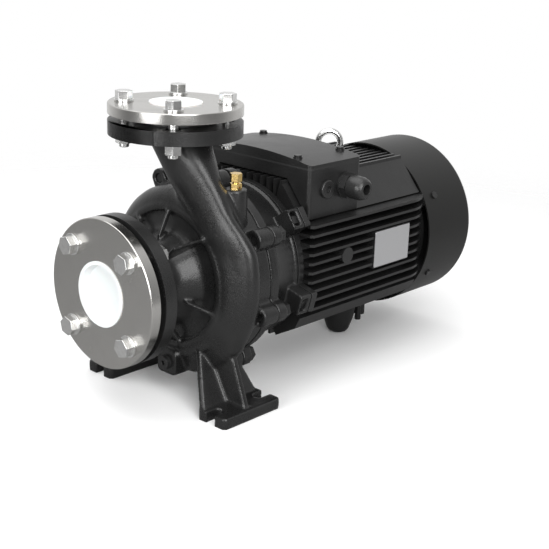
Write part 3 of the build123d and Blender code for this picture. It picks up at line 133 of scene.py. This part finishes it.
class Finish(Graph):
    # A material with its shader

    def __init__(self, name, colour, roughness, metallic=0.0, **extras):
        self.material = bpy.data.materials.new(name)
        self.material.use_nodes = True
        super().__init__(self.material.node_tree)
        self.shader = self.tree.nodes["Principled BSDF"]
        self.set("Base Color", (*colour, 1.0))
        self.set("Roughness", roughness)
        self.set("Metallic", metallic)
        for socket, value in extras.items():
            self.set(socket.replace("_", " "), value)
        self.place = self.node("ShaderNodeTexCoord", out="Object")

    def set(self, name, value):
        socket = self.shader.inputs[name]
        if isinstance(value, Wire):
            self.tree.links.new(value.socket, socket)
        else:
            socket.default_value = value

    def noise(self, scale, detail=2.0, roughness=0.5, place=None):
        return self.node(
            "ShaderNodeTexNoise",
            {"noise_dimensions": "3D"},
            {
                "Vector": place or self.place,
                "Scale": scale,
                "Detail": detail,
                "Roughness": roughness,
            },
        )

    def blend(self, share, first, second):
        mix = {0: share, 6: first, 7: second}
        return self.node("ShaderNodeMix", {"data_type": "RGBA"}, mix, out=2)

    def axes(self):
        split = self.tree.nodes.new("ShaderNodeSeparateXYZ")
        self.tree.links.new(self.place.socket, split.inputs[0])
        return [Wire(self, split.outputs[i]) for i in range(3)]

    def bump(self, height, distance):
        relief = {"Height": height, "Distance": distance}
        self.set("Normal", self.node("ShaderNodeBump", {}, relief))


def shaded(colour, share):
    return (*[c * share for c in colour], 1.0)


def grey(share):
    return shaded((1, 1, 1), share)


def distance(first, second, place):
    return ((first - place[0]) ** 2.0 + (second - place[1]) ** 2.0) ** 0.5


castLook = {
    "pebbles": {"detail": 3.0, "roughness": 0.65},
    "pebbleHeight": 0.6,
    "pebbleGloss": 0.12,
    "lumpSize": 7,  # in pebbles
    "lumpHeight": 1.1,
    "dustScale": 16.0,
    "dustRange": (0.45, 0.7),
    "dustGloss": 0.07,
    "dustShare": 0.7,
    "dustLight": 1.6,
}
sheetLook = {
    "peelScale": 800.0,
    "peelDepth": 0.00005,
    "cloudScale": 9.0,
    "cloudGloss": 0.08,
    "cloudDark": 0.9,
    "cloudLight": 1.15,
    "specular": 0.3,
}
turnedLook = {
    "ringScale": 2600.0,
    "ringDetail": 2.0,
    "ringDepth": 0.000002,
    "ringGloss": 0.05,
    "stains": {"scale": 30.0, "detail": 3.0, "roughness": 0.6},
    "stainRange": (0.42, 0.72),
    "stainGloss": 0.04,
    "stainShare": 0.5,
    "stainDark": 0.92,
}
platedLook = {
    "marks": {"detail": 3.0, "roughness": 0.6},
    "markDepth": 0.00001,
    "markGloss": 0.14,
    "markRange": (0.45, 0.75),
    "markDark": 0.82,
}
plasticLook = {
    "skinGloss": 0.06,
    "cloudScale": 30.0,
    "cloudGloss": 0.05,
    "cloudDark": 0.94,
}
plateLook = {
    "metallic": 0.8,
    "stretch": (60.0, 1.0, 2400.0),
    "lineDepth": 0.00001,
    "lineGloss": 0.12,
}


def castPaint(name, colour, grain, depth, gloss):
    # Enamel over a sand casting: pebbled skin, slow lumps, a little dust
    look = castLook
    paint = Finish(name, colour, gloss)
    pebbles = paint.noise(grain, **look["pebbles"])
    lumps = paint.noise(grain / look["lumpSize"])
    dust = paint.mask(paint.noise(look["dustScale"]), *look["dustRange"])
    paint.bump(pebbles * look["pebbleHeight"] + lumps * look["lumpHeight"], depth)
    paint.set("Roughness", gloss + look["pebbleGloss"] * pebbles + look["dustGloss"] * dust)
    dusty = shaded(colour, look["dustLight"])
    paint.set("Base Color", paint.blend(dust * look["dustShare"], shaded(colour, 1.0), dusty))
    return paint.material


def sheetPaint(name, colour, gloss):
    # Powder coat on pressed sheet: fine orange peel
    look = sheetLook
    paint = Finish(name, colour, gloss)
    peel = paint.noise(look["peelScale"])
    cloud = paint.noise(look["cloudScale"])
    paint.bump(peel, look["peelDepth"])
    paint.set("Roughness", gloss + look["cloudGloss"] * cloud)
    paint.set("Specular IOR Level", look["specular"])
    darker = shaded(colour, look["cloudDark"])
    paint.set("Base Color", paint.blend(cloud, darker, shaded(colour, look["cloudLight"])))
    return paint.material


def turnedSteel(name, colour, along, centre, gloss):
    # Faced on a lathe: fine rings about the flange's axis and a few stains
    look = turnedLook
    steel = Finish(name, colour, gloss, 1.0)
    x, y, z = steel.axes()
    radius = distance(y, z, centre) if along == "x" else distance(x, y, centre)
    rings = steel.node(
        "ShaderNodeTexNoise",
        {"noise_dimensions": "1D"},
        {"W": radius * look["ringScale"], "Scale": 1.0, "Detail": look["ringDetail"]},
    )
    stain = steel.mask(steel.noise(**look["stains"]), *look["stainRange"])
    steel.bump(rings, look["ringDepth"])
    steel.set("Roughness", gloss + look["ringGloss"] * rings + look["stainGloss"] * stain)
    stained = shaded(colour, look["stainDark"])
    steel.set("Base Color", steel.blend(stain * look["stainShare"], shaded(colour, 1.0), stained))
    return steel.material


def platedMetal(name, colour, gloss, patch=240.0):
    # Zinc, brass or ground steel with handling marks
    look = platedLook
    metal = Finish(name, colour, gloss, 1.0)
    marks = metal.noise(patch, **look["marks"])
    metal.bump(marks, look["markDepth"])
    metal.set("Roughness", gloss + look["markGloss"] * marks)
    marked = metal.mask(marks, *look["markRange"])
    darker = shaded(colour, look["markDark"])
    metal.set("Base Color", metal.blend(marked, shaded(colour, 1.0), darker))
    return metal.material


def mouldedPlastic(name, colour, gloss, grain=1400.0, depth=0.00003, **extras):
    look = plasticLook
    plastic = Finish(name, colour, gloss, **extras)
    skin = plastic.noise(grain)
    cloud = plastic.noise(look["cloudScale"])
    plastic.bump(skin, depth)
    plastic.set("Roughness", gloss + look["skinGloss"] * skin + look["cloudGloss"] * cloud)
    darker = shaded(colour, look["cloudDark"])
    plastic.set("Base Color", plastic.blend(cloud, shaded(colour, 1.0), darker))
    return plastic.material


def plateMetal(name, colour, gloss):
    # The bare name plate, grained lengthwise
    look = plateLook
    plate = Finish(name, colour, gloss, look["metallic"])
    mapping = {"Vector": plate.place, "Scale": look["stretch"]}
    lines = plate.noise(1.0, place=plate.node("ShaderNodeMapping", {}, mapping))
    plate.bump(lines, look["lineDepth"])
    plate.set("Roughness", gloss + look["lineGloss"] * lines)
    return plate.material


flangeColour = (0.56, 0.55, 0.53)
blackEnamel = (0.0115, 0.0115, 0.0115)
finishKinds = {
    "castBlack": (castPaint, dict(colour=blackEnamel, grain=560.0, depth=0.00038, gloss=0.22)),
    "motorBlack": (castPaint, dict(colour=blackEnamel, grain=800.0, depth=0.00012, gloss=0.26)),
    "sheetBlack": (sheetPaint, dict(colour=(0.0095, 0.0095, 0.009), gloss=0.32)),
    "suctionSteel": (
        turnedSteel,
        dict(colour=flangeColour, along="x", centre=(0, shaftHeight), gloss=0.2),
    ),
    "dischargeSteel": (
        turnedSteel,
        dict(colour=flangeColour, along="z", centre=(dischargeX, 0), gloss=0.2),
    ),
    "zinc": (platedMetal, dict(colour=(0.82, 0.82, 0.81), gloss=0.16)),
    "brass": (platedMetal, dict(colour=(0.9, 0.64, 0.25), gloss=0.16)),
    "groundSteel": (platedMetal, dict(colour=(0.55, 0.55, 0.56), gloss=0.25)),
    "castGrey": (castPaint, dict(colour=(0.16, 0.16, 0.165), grain=480.0, depth=0.0005, gloss=0.5)),
    "copper": (platedMetal, dict(colour=(0.72, 0.36, 0.18), gloss=0.35, patch=500.0)),
    "whitePlastic": (
        mouldedPlastic,
        dict(colour=(0.86, 0.86, 0.85), gloss=0.38, Subsurface_Weight=0.1),
    ),
    "blackPlastic": (mouldedPlastic, dict(colour=(0.017, 0.017, 0.017), gloss=0.28)),
    "blackRubber": (
        mouldedPlastic,
        dict(colour=(0.02, 0.02, 0.02), gloss=0.6, grain=800.0, depth=0.00006),
    ),
    "namePlate": (plateMetal, dict(colour=(0.6, 0.6, 0.61), gloss=0.32)),
}
finishes = {name: maker(name, **settings) for name, (maker, settings) in finishKinds.items()}
finishOfNodes = {
    "castBlack": (
        "casing",
        "motor_bracket",
        "casing_bolts",
        "bracket_nuts",
        "bracket_studs",
        "front_end_shield",
    ),
    "motorBlack": (
        "motor_housing",
        "rear_end_shield",
        "terminal_box_base",
        "terminal_box_cover",
        "terminal_box_screws",
        "fan_cover_screws",
    ),
    "sheetBlack": ("fan_cover",),
    "suctionSteel": ("suction_counter_flange",),
    "dischargeSteel": ("discharge_counter_flange",),
    "zinc": (
        "suction_washers",
        "suction_bolts",
        "suction_nuts",
        "discharge_washers",
        "discharge_bolts",
        "discharge_nuts",
        "eye_bolt",
    ),
    "brass": ("vent_body", "vent_knob", "wear_ring"),
    "groundSteel": (
        "shaft",
        "impeller_key",
        "impeller_washer",
        "impeller_nut",
        "front_bearing_outer",
        "front_bearing_inner",
        "rear_bearing_outer",
        "rear_bearing_inner",
        "bearing_balls",
        "rotor_core",
        "stator_core",
    ),
    "castGrey": ("casing_cover", "impeller", "seal_seat", "seal_head"),
    "copper": ("stator_winding",),
    "whitePlastic": ("suction_plug", "discharge_plug"),
    "blackPlastic": (
        "fan",
        "support_leg",
        "terminal_board",
        "cable_gland_body",
        "cable_gland_nut",
        "blanking_plug",
        "drain_plug",
    ),
    "blackRubber": (
        "suction_gasket",
        "discharge_gasket",
        "casing_gasket",
        "seal_bellows",
        "slinger",
        "terminal_box_gasket",
        "cable_gland_seal",
        "drain_washer",
    ),
    "namePlate": ("nameplate",),
}
for finishName, names in finishOfNodes.items():
    for name in names:
        mesh = nodes[name].data
        mesh.materials.clear()
        mesh.materials.append(finishes[finishName])
print("finishes made:", len(finishes))


def pickOnly(piece):
    bpy.ops.object.select_all(action="DESELECT")
    piece.select_set(True)
    bpy.context.view_layer.objects.active = piece


def applyAll(piece):
    pickOnly(piece)
    for modifier in list(piece.modifiers):
        bpy.ops.object.modifier_apply(modifier=modifier.name)


def applyPlace():
    bpy.ops.object.transform_apply(location=True, rotation=True, scale=True)


def onWholeMesh(operation, **settings):
    # Edits all of the active piece
    bpy.ops.object.mode_set(mode="EDIT")
    bpy.ops.mesh.select_all(action="SELECT")
    operation(**settings)
    bpy.ops.object.mode_set(mode="OBJECT")


def cylinder(vertices, radius, height, middle, rotation=(0, 0, 0)):
    bpy.ops.object.select_all(action="DESELECT")
    bpy.ops.mesh.primitive_cylinder_add(
        vertices=vertices, radius=radius, depth=height, location=middle, rotation=rotation
    )
    applyPlace()
    return bpy.context.object


def mergedCopy(node, name):
    # A copy of a CAD node with its loose triangles joined
    pickOnly(nodes[node])
    bpy.ops.object.duplicate()
    piece = bpy.context.object
    piece.name = name
    piece.data.name = name
    piece.parent = None
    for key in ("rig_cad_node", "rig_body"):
        if key in piece:
            del piece[key]
    onWholeMesh(bpy.ops.mesh.remove_doubles, threshold=0.00001)
    return piece


def standIn(piece, node):
    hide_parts(node)
    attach(piece, "frame")


edgeForm = {
    "flatWithin": 0.6,  # degrees
    "bevelAbove": 30.0,
    "smoothBelow": 40.0,
    "segments": 2,
}


def breakEdges(piece, width, smoothBelow=edgeForm["smoothBelow"]):
    # Makes the flat faces whole again, then bevels the edges
    pickOnly(piece)
    onWholeMesh(bpy.ops.mesh.dissolve_limited, angle_limit=math.radians(edgeForm["flatWithin"]))
    bevel = piece.modifiers.new("edges", "BEVEL")
    bevel.width = width
    bevel.segments = edgeForm["segments"]
    bevel.limit_method = "ANGLE"
    bevel.angle_limit = math.radians(edgeForm["bevelAbove"])
    bevel.miter_outer = "MITER_ARC"
    applyAll(piece)
    bpy.ops.object.shade_smooth_by_angle(angle=math.radians(smoothBelow))
    level = piece.modifiers.new("level", "WEIGHTED_NORMAL")
    level.keep_sharp = True
    applyAll(piece)
    return piece


def roundedCopy(node, width):
    piece = breakEdges(mergedCopy(node, node.title().replace("_", "")), width)
    standIn(piece, node)
    return piece


# The castings get one skin over the CAD shape, with soft inner corners like those of a sand mould
castingShape = {
    "voxel": 0.0017,
    "softenSteps": 4,
    "roundSteps": 170,
    "soften": 0.5,
    "roundPull": 0.9,
    "mostFaces": 195000,
    "smoothBelow": 55.0,
    "flangeThickness": 0.0225,
    "flangeOverlap": 0.006,
    "flangeEdge": 0.0009,
    "padEdge": 0.0015,
    "roundFrom": (0.094, 0.106),  # distances from the shaft between which the round belly starts
    "bellyBack": (0.012, 0.015),
    "bellyFoot": (0.082, 0.092),
    "bellyTop": (-0.014, -0.005),  # from the discharge flange's underside
    "ventBossSides": 64,
    "ventBossRadius": 0.0145,
    "ventBossHeight": 0.058,
    "ventThread": 0.012,
}
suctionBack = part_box("suction_gasket")[1].x + castingShape["flangeThickness"]
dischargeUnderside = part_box("discharge_gasket")[0].z - castingShape["flangeThickness"]


def soften(piece, groupName, share, steps, pull):
    # Each vertex moves by its share, so that one part of the skin flows and the next stays
    group = piece.vertex_groups.new(name=groupName)
    for vertex in piece.data.vertices:
        weight = share(vertex.co)
        if weight > 0:
            group.add([vertex.index], weight, "REPLACE")
    smooth = piece.modifiers.new(groupName, "SMOOTH")
    smooth.factor = pull
    smooth.iterations = steps
    smooth.vertex_group = groupName


def voxelSkin(piece):
    remesh = piece.modifiers.new("skin", "REMESH")
    remesh.mode = "VOXEL"
    remesh.voxel_size = castingShape["voxel"]
    applyAll(piece)


def cutAway(piece, place, outwards):
    # Keeps the metal on the near side of a plane and closes the cut
    pickOnly(piece)
    onWholeMesh(
        bpy.ops.mesh.bisect, plane_co=place, plane_no=outwards, use_fill=True, clear_outer=True
    )


def castSkin(node, name, isCrisp, roundness=None, extras=(), cuts=()):
    piece = mergedCopy(node, name)
    for place, outwards in cuts:
        cutAway(piece, place, outwards)
    voxelSkin(piece)
    if roundness:
        soften(piece, "round", roundness, castingShape["roundSteps"], castingShape["roundPull"])
        applyAll(piece)
    if extras:
        pickOnly(piece)
        for extra in extras:
            extra.select_set(True)
        bpy.ops.object.join()
        voxelSkin(piece)
    rough = lambda point: 0.0 if isCrisp(point) else 1.0
    soften(piece, "rough", rough, castingShape["softenSteps"], castingShape["soften"])
    triangles = len(piece.data.polygons) * 2
    if triangles > castingShape["mostFaces"]:
        thin = piece.modifiers.new("thin", "DECIMATE")
        thin.ratio = castingShape["mostFaces"] / triangles
    applyAll(piece)
    piece.vertex_groups.clear()
    bpy.ops.object.shade_smooth_by_angle(angle=math.radians(castingShape["smoothBelow"]))
    print(name, "skinned, faces:", len(piece.data.polygons))
    standIn(piece, node)


def crispOnCasing(point):
    return point.z < floorZ + castingShape["padEdge"]


def ramp(value, low, high):
    return min(max((value - low) / (high - low), 0.0), 1.0)


def bellyOfCasing(point):
    # 1 on the volute's rim and the neck, 0 on the flanges, the front plate, the lugs and the feet
    fromShaft = math.hypot(point.y, point.z - shaftHeight)
    onBelly = ramp(fromShaft, *castingShape["roundFrom"])
    onBelly *= 1 - ramp(point.x, *castingShape["bellyBack"])
    onBelly *= ramp(point.z, *castingShape["bellyFoot"])
    low, high = castingShape["bellyTop"]
    return onBelly * (1 - ramp(point.z, dischargeUnderside + low, dischargeUnderside + high))


def ventBoss():
    height = castingShape["ventBossHeight"]
    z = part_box("vent_body")[0].z + castingShape["ventThread"] - height / 2
    middle = (*middleOf("vent_body")[:2], z)
    return cylinder(castingShape["ventBossSides"], castingShape["ventBossRadius"], height, middle)


def turnedFlange(name, place, outwards):
    # The machined flange with a short neck that runs into the cast skin
    piece = mergedCopy("casing", name)
    cutAway(piece, place, outwards)
    return breakEdges(piece, castingShape["flangeEdge"])


suctionPlane = (suctionBack, 0, 0)
dischargePlane = (0, 0, dischargeUnderside)
overlap = castingShape["flangeOverlap"]
flanges = [
    turnedFlange("suctionFace", (suctionBack + overlap, 0, 0), (1, 0, 0)),
    turnedFlange("dischargeFace", (0, 0, dischargeUnderside - overlap), (0, 0, -1)),
]
castSkin(
    "casing",
    "castCasing",
    crispOnCasing,
    bellyOfCasing,
    [ventBoss()],
    [(suctionPlane, (-1, 0, 0)), (dischargePlane, (0, 0, 1))],
)
for flange in flanges:
    standIn(flange, "casing")
castSkin("motor_bracket", "castBracket", lambda point: False)
print("castings made")

# The fan cover shows its CAD mesh, because making its flat faces whole tears the grille
edgeWidths = {
    "motor_housing": 0.0011,
    "front_end_shield": 0.0009,
    "rear_end_shield": 0.0009,
    "terminal_box_base": 0.0012,
    "terminal_box_cover": 0.0009,
    "suction_counter_flange": 0.0006,
    "discharge_counter_flange": 0.0006,
    "casing_bolts": 0.0007,
    "fan_cover_screws": 0.0004,
    "terminal_box_screws": 0.0004,
    "support_leg": 0.001,
    "nameplate": 0.0002,
    "cable_gland_body": 0.0005,
    "cable_gland_nut": 0.0005,
    "blanking_plug": 0.0004,
    "drain_plug": 0.0004,
}
for node, width in edgeWidths.items():
    roundedCopy(node, width)

# The photo shows the flanges' fastenings smaller than the CAD's M16: the share of their width
zincEdge = 0.0006
fastenings = {
    "discharge_bolts": 0.78,
    "discharge_nuts": 0.78,
    "discharge_washers": 0.8,
    "suction_bolts": 0.88,
    "suction_nuts": 0.88,
    "suction_washers": 0.9,
}


def slimmerCopies(node, share):
    # Every loose piece shrinks about its own axis
    piece = roundedCopy(node, zincEdge)
    lengthwise = (share, share, 1) if node.startswith("discharge") else (1, share, share)
    onWholeMesh(bpy.ops.mesh.separate, type="LOOSE")
    parts = list(bpy.context.selected_objects)
    for part in parts:
        pickOnly(part)
        bpy.ops.object.origin_set(type="ORIGIN_GEOMETRY", center="BOUNDS")
        bpy.ops.transform.resize(value=lengthwise)
        applyPlace()
    for part in parts:
        part.select_set(True)
    bpy.context.view_layer.objects.active = piece
    bpy.ops.object.join()


for node, share in fastenings.items():
    slimmerCopies(node, share)

# The lifting eye is smaller in the photo too, and smooth all over
eyeForm = {"share": 0.76, "seat": 0.018, "smoothBelow": 60.0}
liftingEye = breakEdges(mergedCopy("eye_bolt", "liftingEye"), zincEdge, eyeForm["smoothBelow"])
eyeSeat = (*middleOf("eye_bolt")[:2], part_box("eye_bolt")[0].z + eyeForm["seat"])
onWholeMesh(bpy.ops.transform.resize, value=(eyeForm["share"],) * 3, center_override=eyeSeat)
standIn(liftingEye, "eye_bolt")

# A dark disc, painted shade, closes the view between the fan cover and the housing
shadeDiscForm = {"sides": 96, "gap": 0.0035, "thickness": 0.002, "setBack": 0.004}
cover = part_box("fan_cover")
shadeDisc = cylinder(
    shadeDiscForm["sides"],
    (cover[1].y - cover[0].y) / 2 - shadeDiscForm["gap"],
    shadeDiscForm["thickness"],
    (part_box("rear_end_shield")[1].x - shadeDiscForm["setBack"], 0, shaftHeight),
    (0, math.pi / 2, 0),
)
shadeDisc.name = "paintedShadeDisc"
shadeDisc.data.materials.append(finishes["motorBlack"])
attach(shadeDisc, "frame")
print("motor and fastenings made")

cameraView = {
    "azimuth": -47.74,
    "elevation": 17.9,
    "roll": 2.05,
    "focalPixels": 1155.45,
    "imageWidth": 549.0,
    "sensorWidth": 36.0,
    "sideways": 0.12628,
    "upwards": -0.00046,
    "distance": 1.46023,
}
azimuth = math.radians(cameraView["azimuth"])
elevation = math.radians(cameraView["elevation"])
roll = math.radians(cameraView["roll"])
back = Vector(
    (
        math.sin(azimuth) * math.cos(elevation),
        -math.cos(azimuth) * math.cos(elevation),
        math.sin(elevation),
    )
)
level = Vector((math.cos(azimuth), math.sin(azimuth), 0))
upright = back.cross(level)
right = math.cos(roll) * level + math.sin(roll) * upright
up = math.cos(roll) * upright - math.sin(roll) * level
aim = Vector((dischargeX, 0, shaftHeight))
eye = aim + back * cameraView["distance"]
eye = eye + right * cameraView["sideways"] + up * cameraView["upwards"]
bpy.ops.object.select_all(action="DESELECT")
bpy.ops.object.camera_add(location=eye)
camera = bpy.context.object
camera.matrix_world = Matrix.Translation(eye) @ Matrix((right, up, back)).transposed().to_4x4()
camera.data.sensor_width = cameraView["sensorWidth"]
camera.data.lens = cameraView["focalPixels"] / cameraView["imageWidth"] * camera.data.sensor_width
bpy.context.scene.camera = camera

studio = {
    "floorSize": 6.0,
    "floorFade": (0.75, 1.5),  # metres from the middle: full floor, then none
    "floorMiddle": (0.1, 0.0),
    "floorRoughness": 0.9,
    "floorSeen": 1.0,
    # Painted reflection: the floor that the pump reflects is painted darker on the left and lighter
    # on the right, standing in for dark and bright surroundings
    "floorLeft": 0.22,  # what the pump mirrors on either side
    "floorRight": 0.42,
    "floorAcross": (0.68, 0.73),  # the way from left to right: along x and against y
    "floorSides": (-0.5, 0.9),
    "worldSeen": 1.0,
    "worldDark": 0.22,
    "worldBright": 0.85,
    "worldSides": (-0.3, 0.8),
    "brightSide": (0.7, 0.62, 0.3),
    "lamps": (
        ("overhead", (-0.3, 0.1, 2.0), (0.0, 0.0, 0.2), 2.6, 2.0, 30.0),
        ("tallKey", (-0.85, -1.6, 1.1), (0.0, 0.0, 0.2), 1.2, 1.8, 38.0),
        ("leftHigh", (-1.75, -0.2, 0.6), (-0.1, 0.0, 0.2), 1.0, 1.1, 20.0),
    ),
}
bpy.ops.mesh.primitive_plane_add(size=studio["floorSize"], location=(0, 0, floorZ))
floor = bpy.context.object
floor.name = "studioFloor"
pickOnly(floor)
applyPlace()
paper = Finish("paper", grey(studio["floorSeen"])[:3], studio["floorRoughness"])
x, y = paper.axes()[:2]
reach = distance(x, y, studio["floorMiddle"])
paper.set("Alpha", 1 - paper.mask(reach, *studio["floorFade"]))
seen = paper.node("ShaderNodeLightPath", out="Is Camera Ray")
alongX, againstY = studio["floorAcross"]
# Painted reflection: for all but camera rays the floor is painted darker towards the left and
# lighter towards the right
side = paper.mask(x * alongX - y * againstY, *studio["floorSides"])
paintedReflection = paper.blend(side, grey(studio["floorLeft"]), grey(studio["floorRight"]))
paper.set("Base Color", paper.blend(seen, paintedReflection, grey(studio["floorSeen"])))
floor.data.materials.append(paper.material)

world = bpy.data.worlds.new("studio")
bpy.context.scene.world = world
world.use_nodes = True
sky = Graph(world.node_tree)
background = sky.tree.nodes["Background"]
background.inputs["Color"].default_value = grey(1.0)
towards = sky.node(
    "ShaderNodeVectorMath",
    {"operation": "DOT_PRODUCT"},
    {0: sky.node("ShaderNodeTexCoord", out="Generated"), 1: studio["brightSide"]},
    out="Value",
)
glow = sky.mask(towards, *studio["worldSides"], studio["worldDark"], studio["worldBright"])
shown = sky.node(
    "ShaderNodeMix",
    {"data_type": "FLOAT"},
    {0: sky.node("ShaderNodeLightPath", out="Is Camera Ray"), 2: glow, 3: studio["worldSeen"]},
)
sky.tree.links.new(shown.socket, background.inputs["Strength"])

for name, place, target, width, height, power in studio["lamps"]:
    bpy.ops.object.light_add(type="AREA", location=place)
    lamp = bpy.context.object
    lamp.name = name
    lamp.data.shape = "RECTANGLE"
    lamp.data.size = width
    lamp.data.size_y = height
    lamp.data.energy = power
    lamp.rotation_mode = "QUATERNION"
    lamp.rotation_quaternion = (Vector(place) - Vector(target)).to_track_quat("Z", "Y")
bpy.context.scene.view_settings.view_transform = "Standard"
print("studio set")
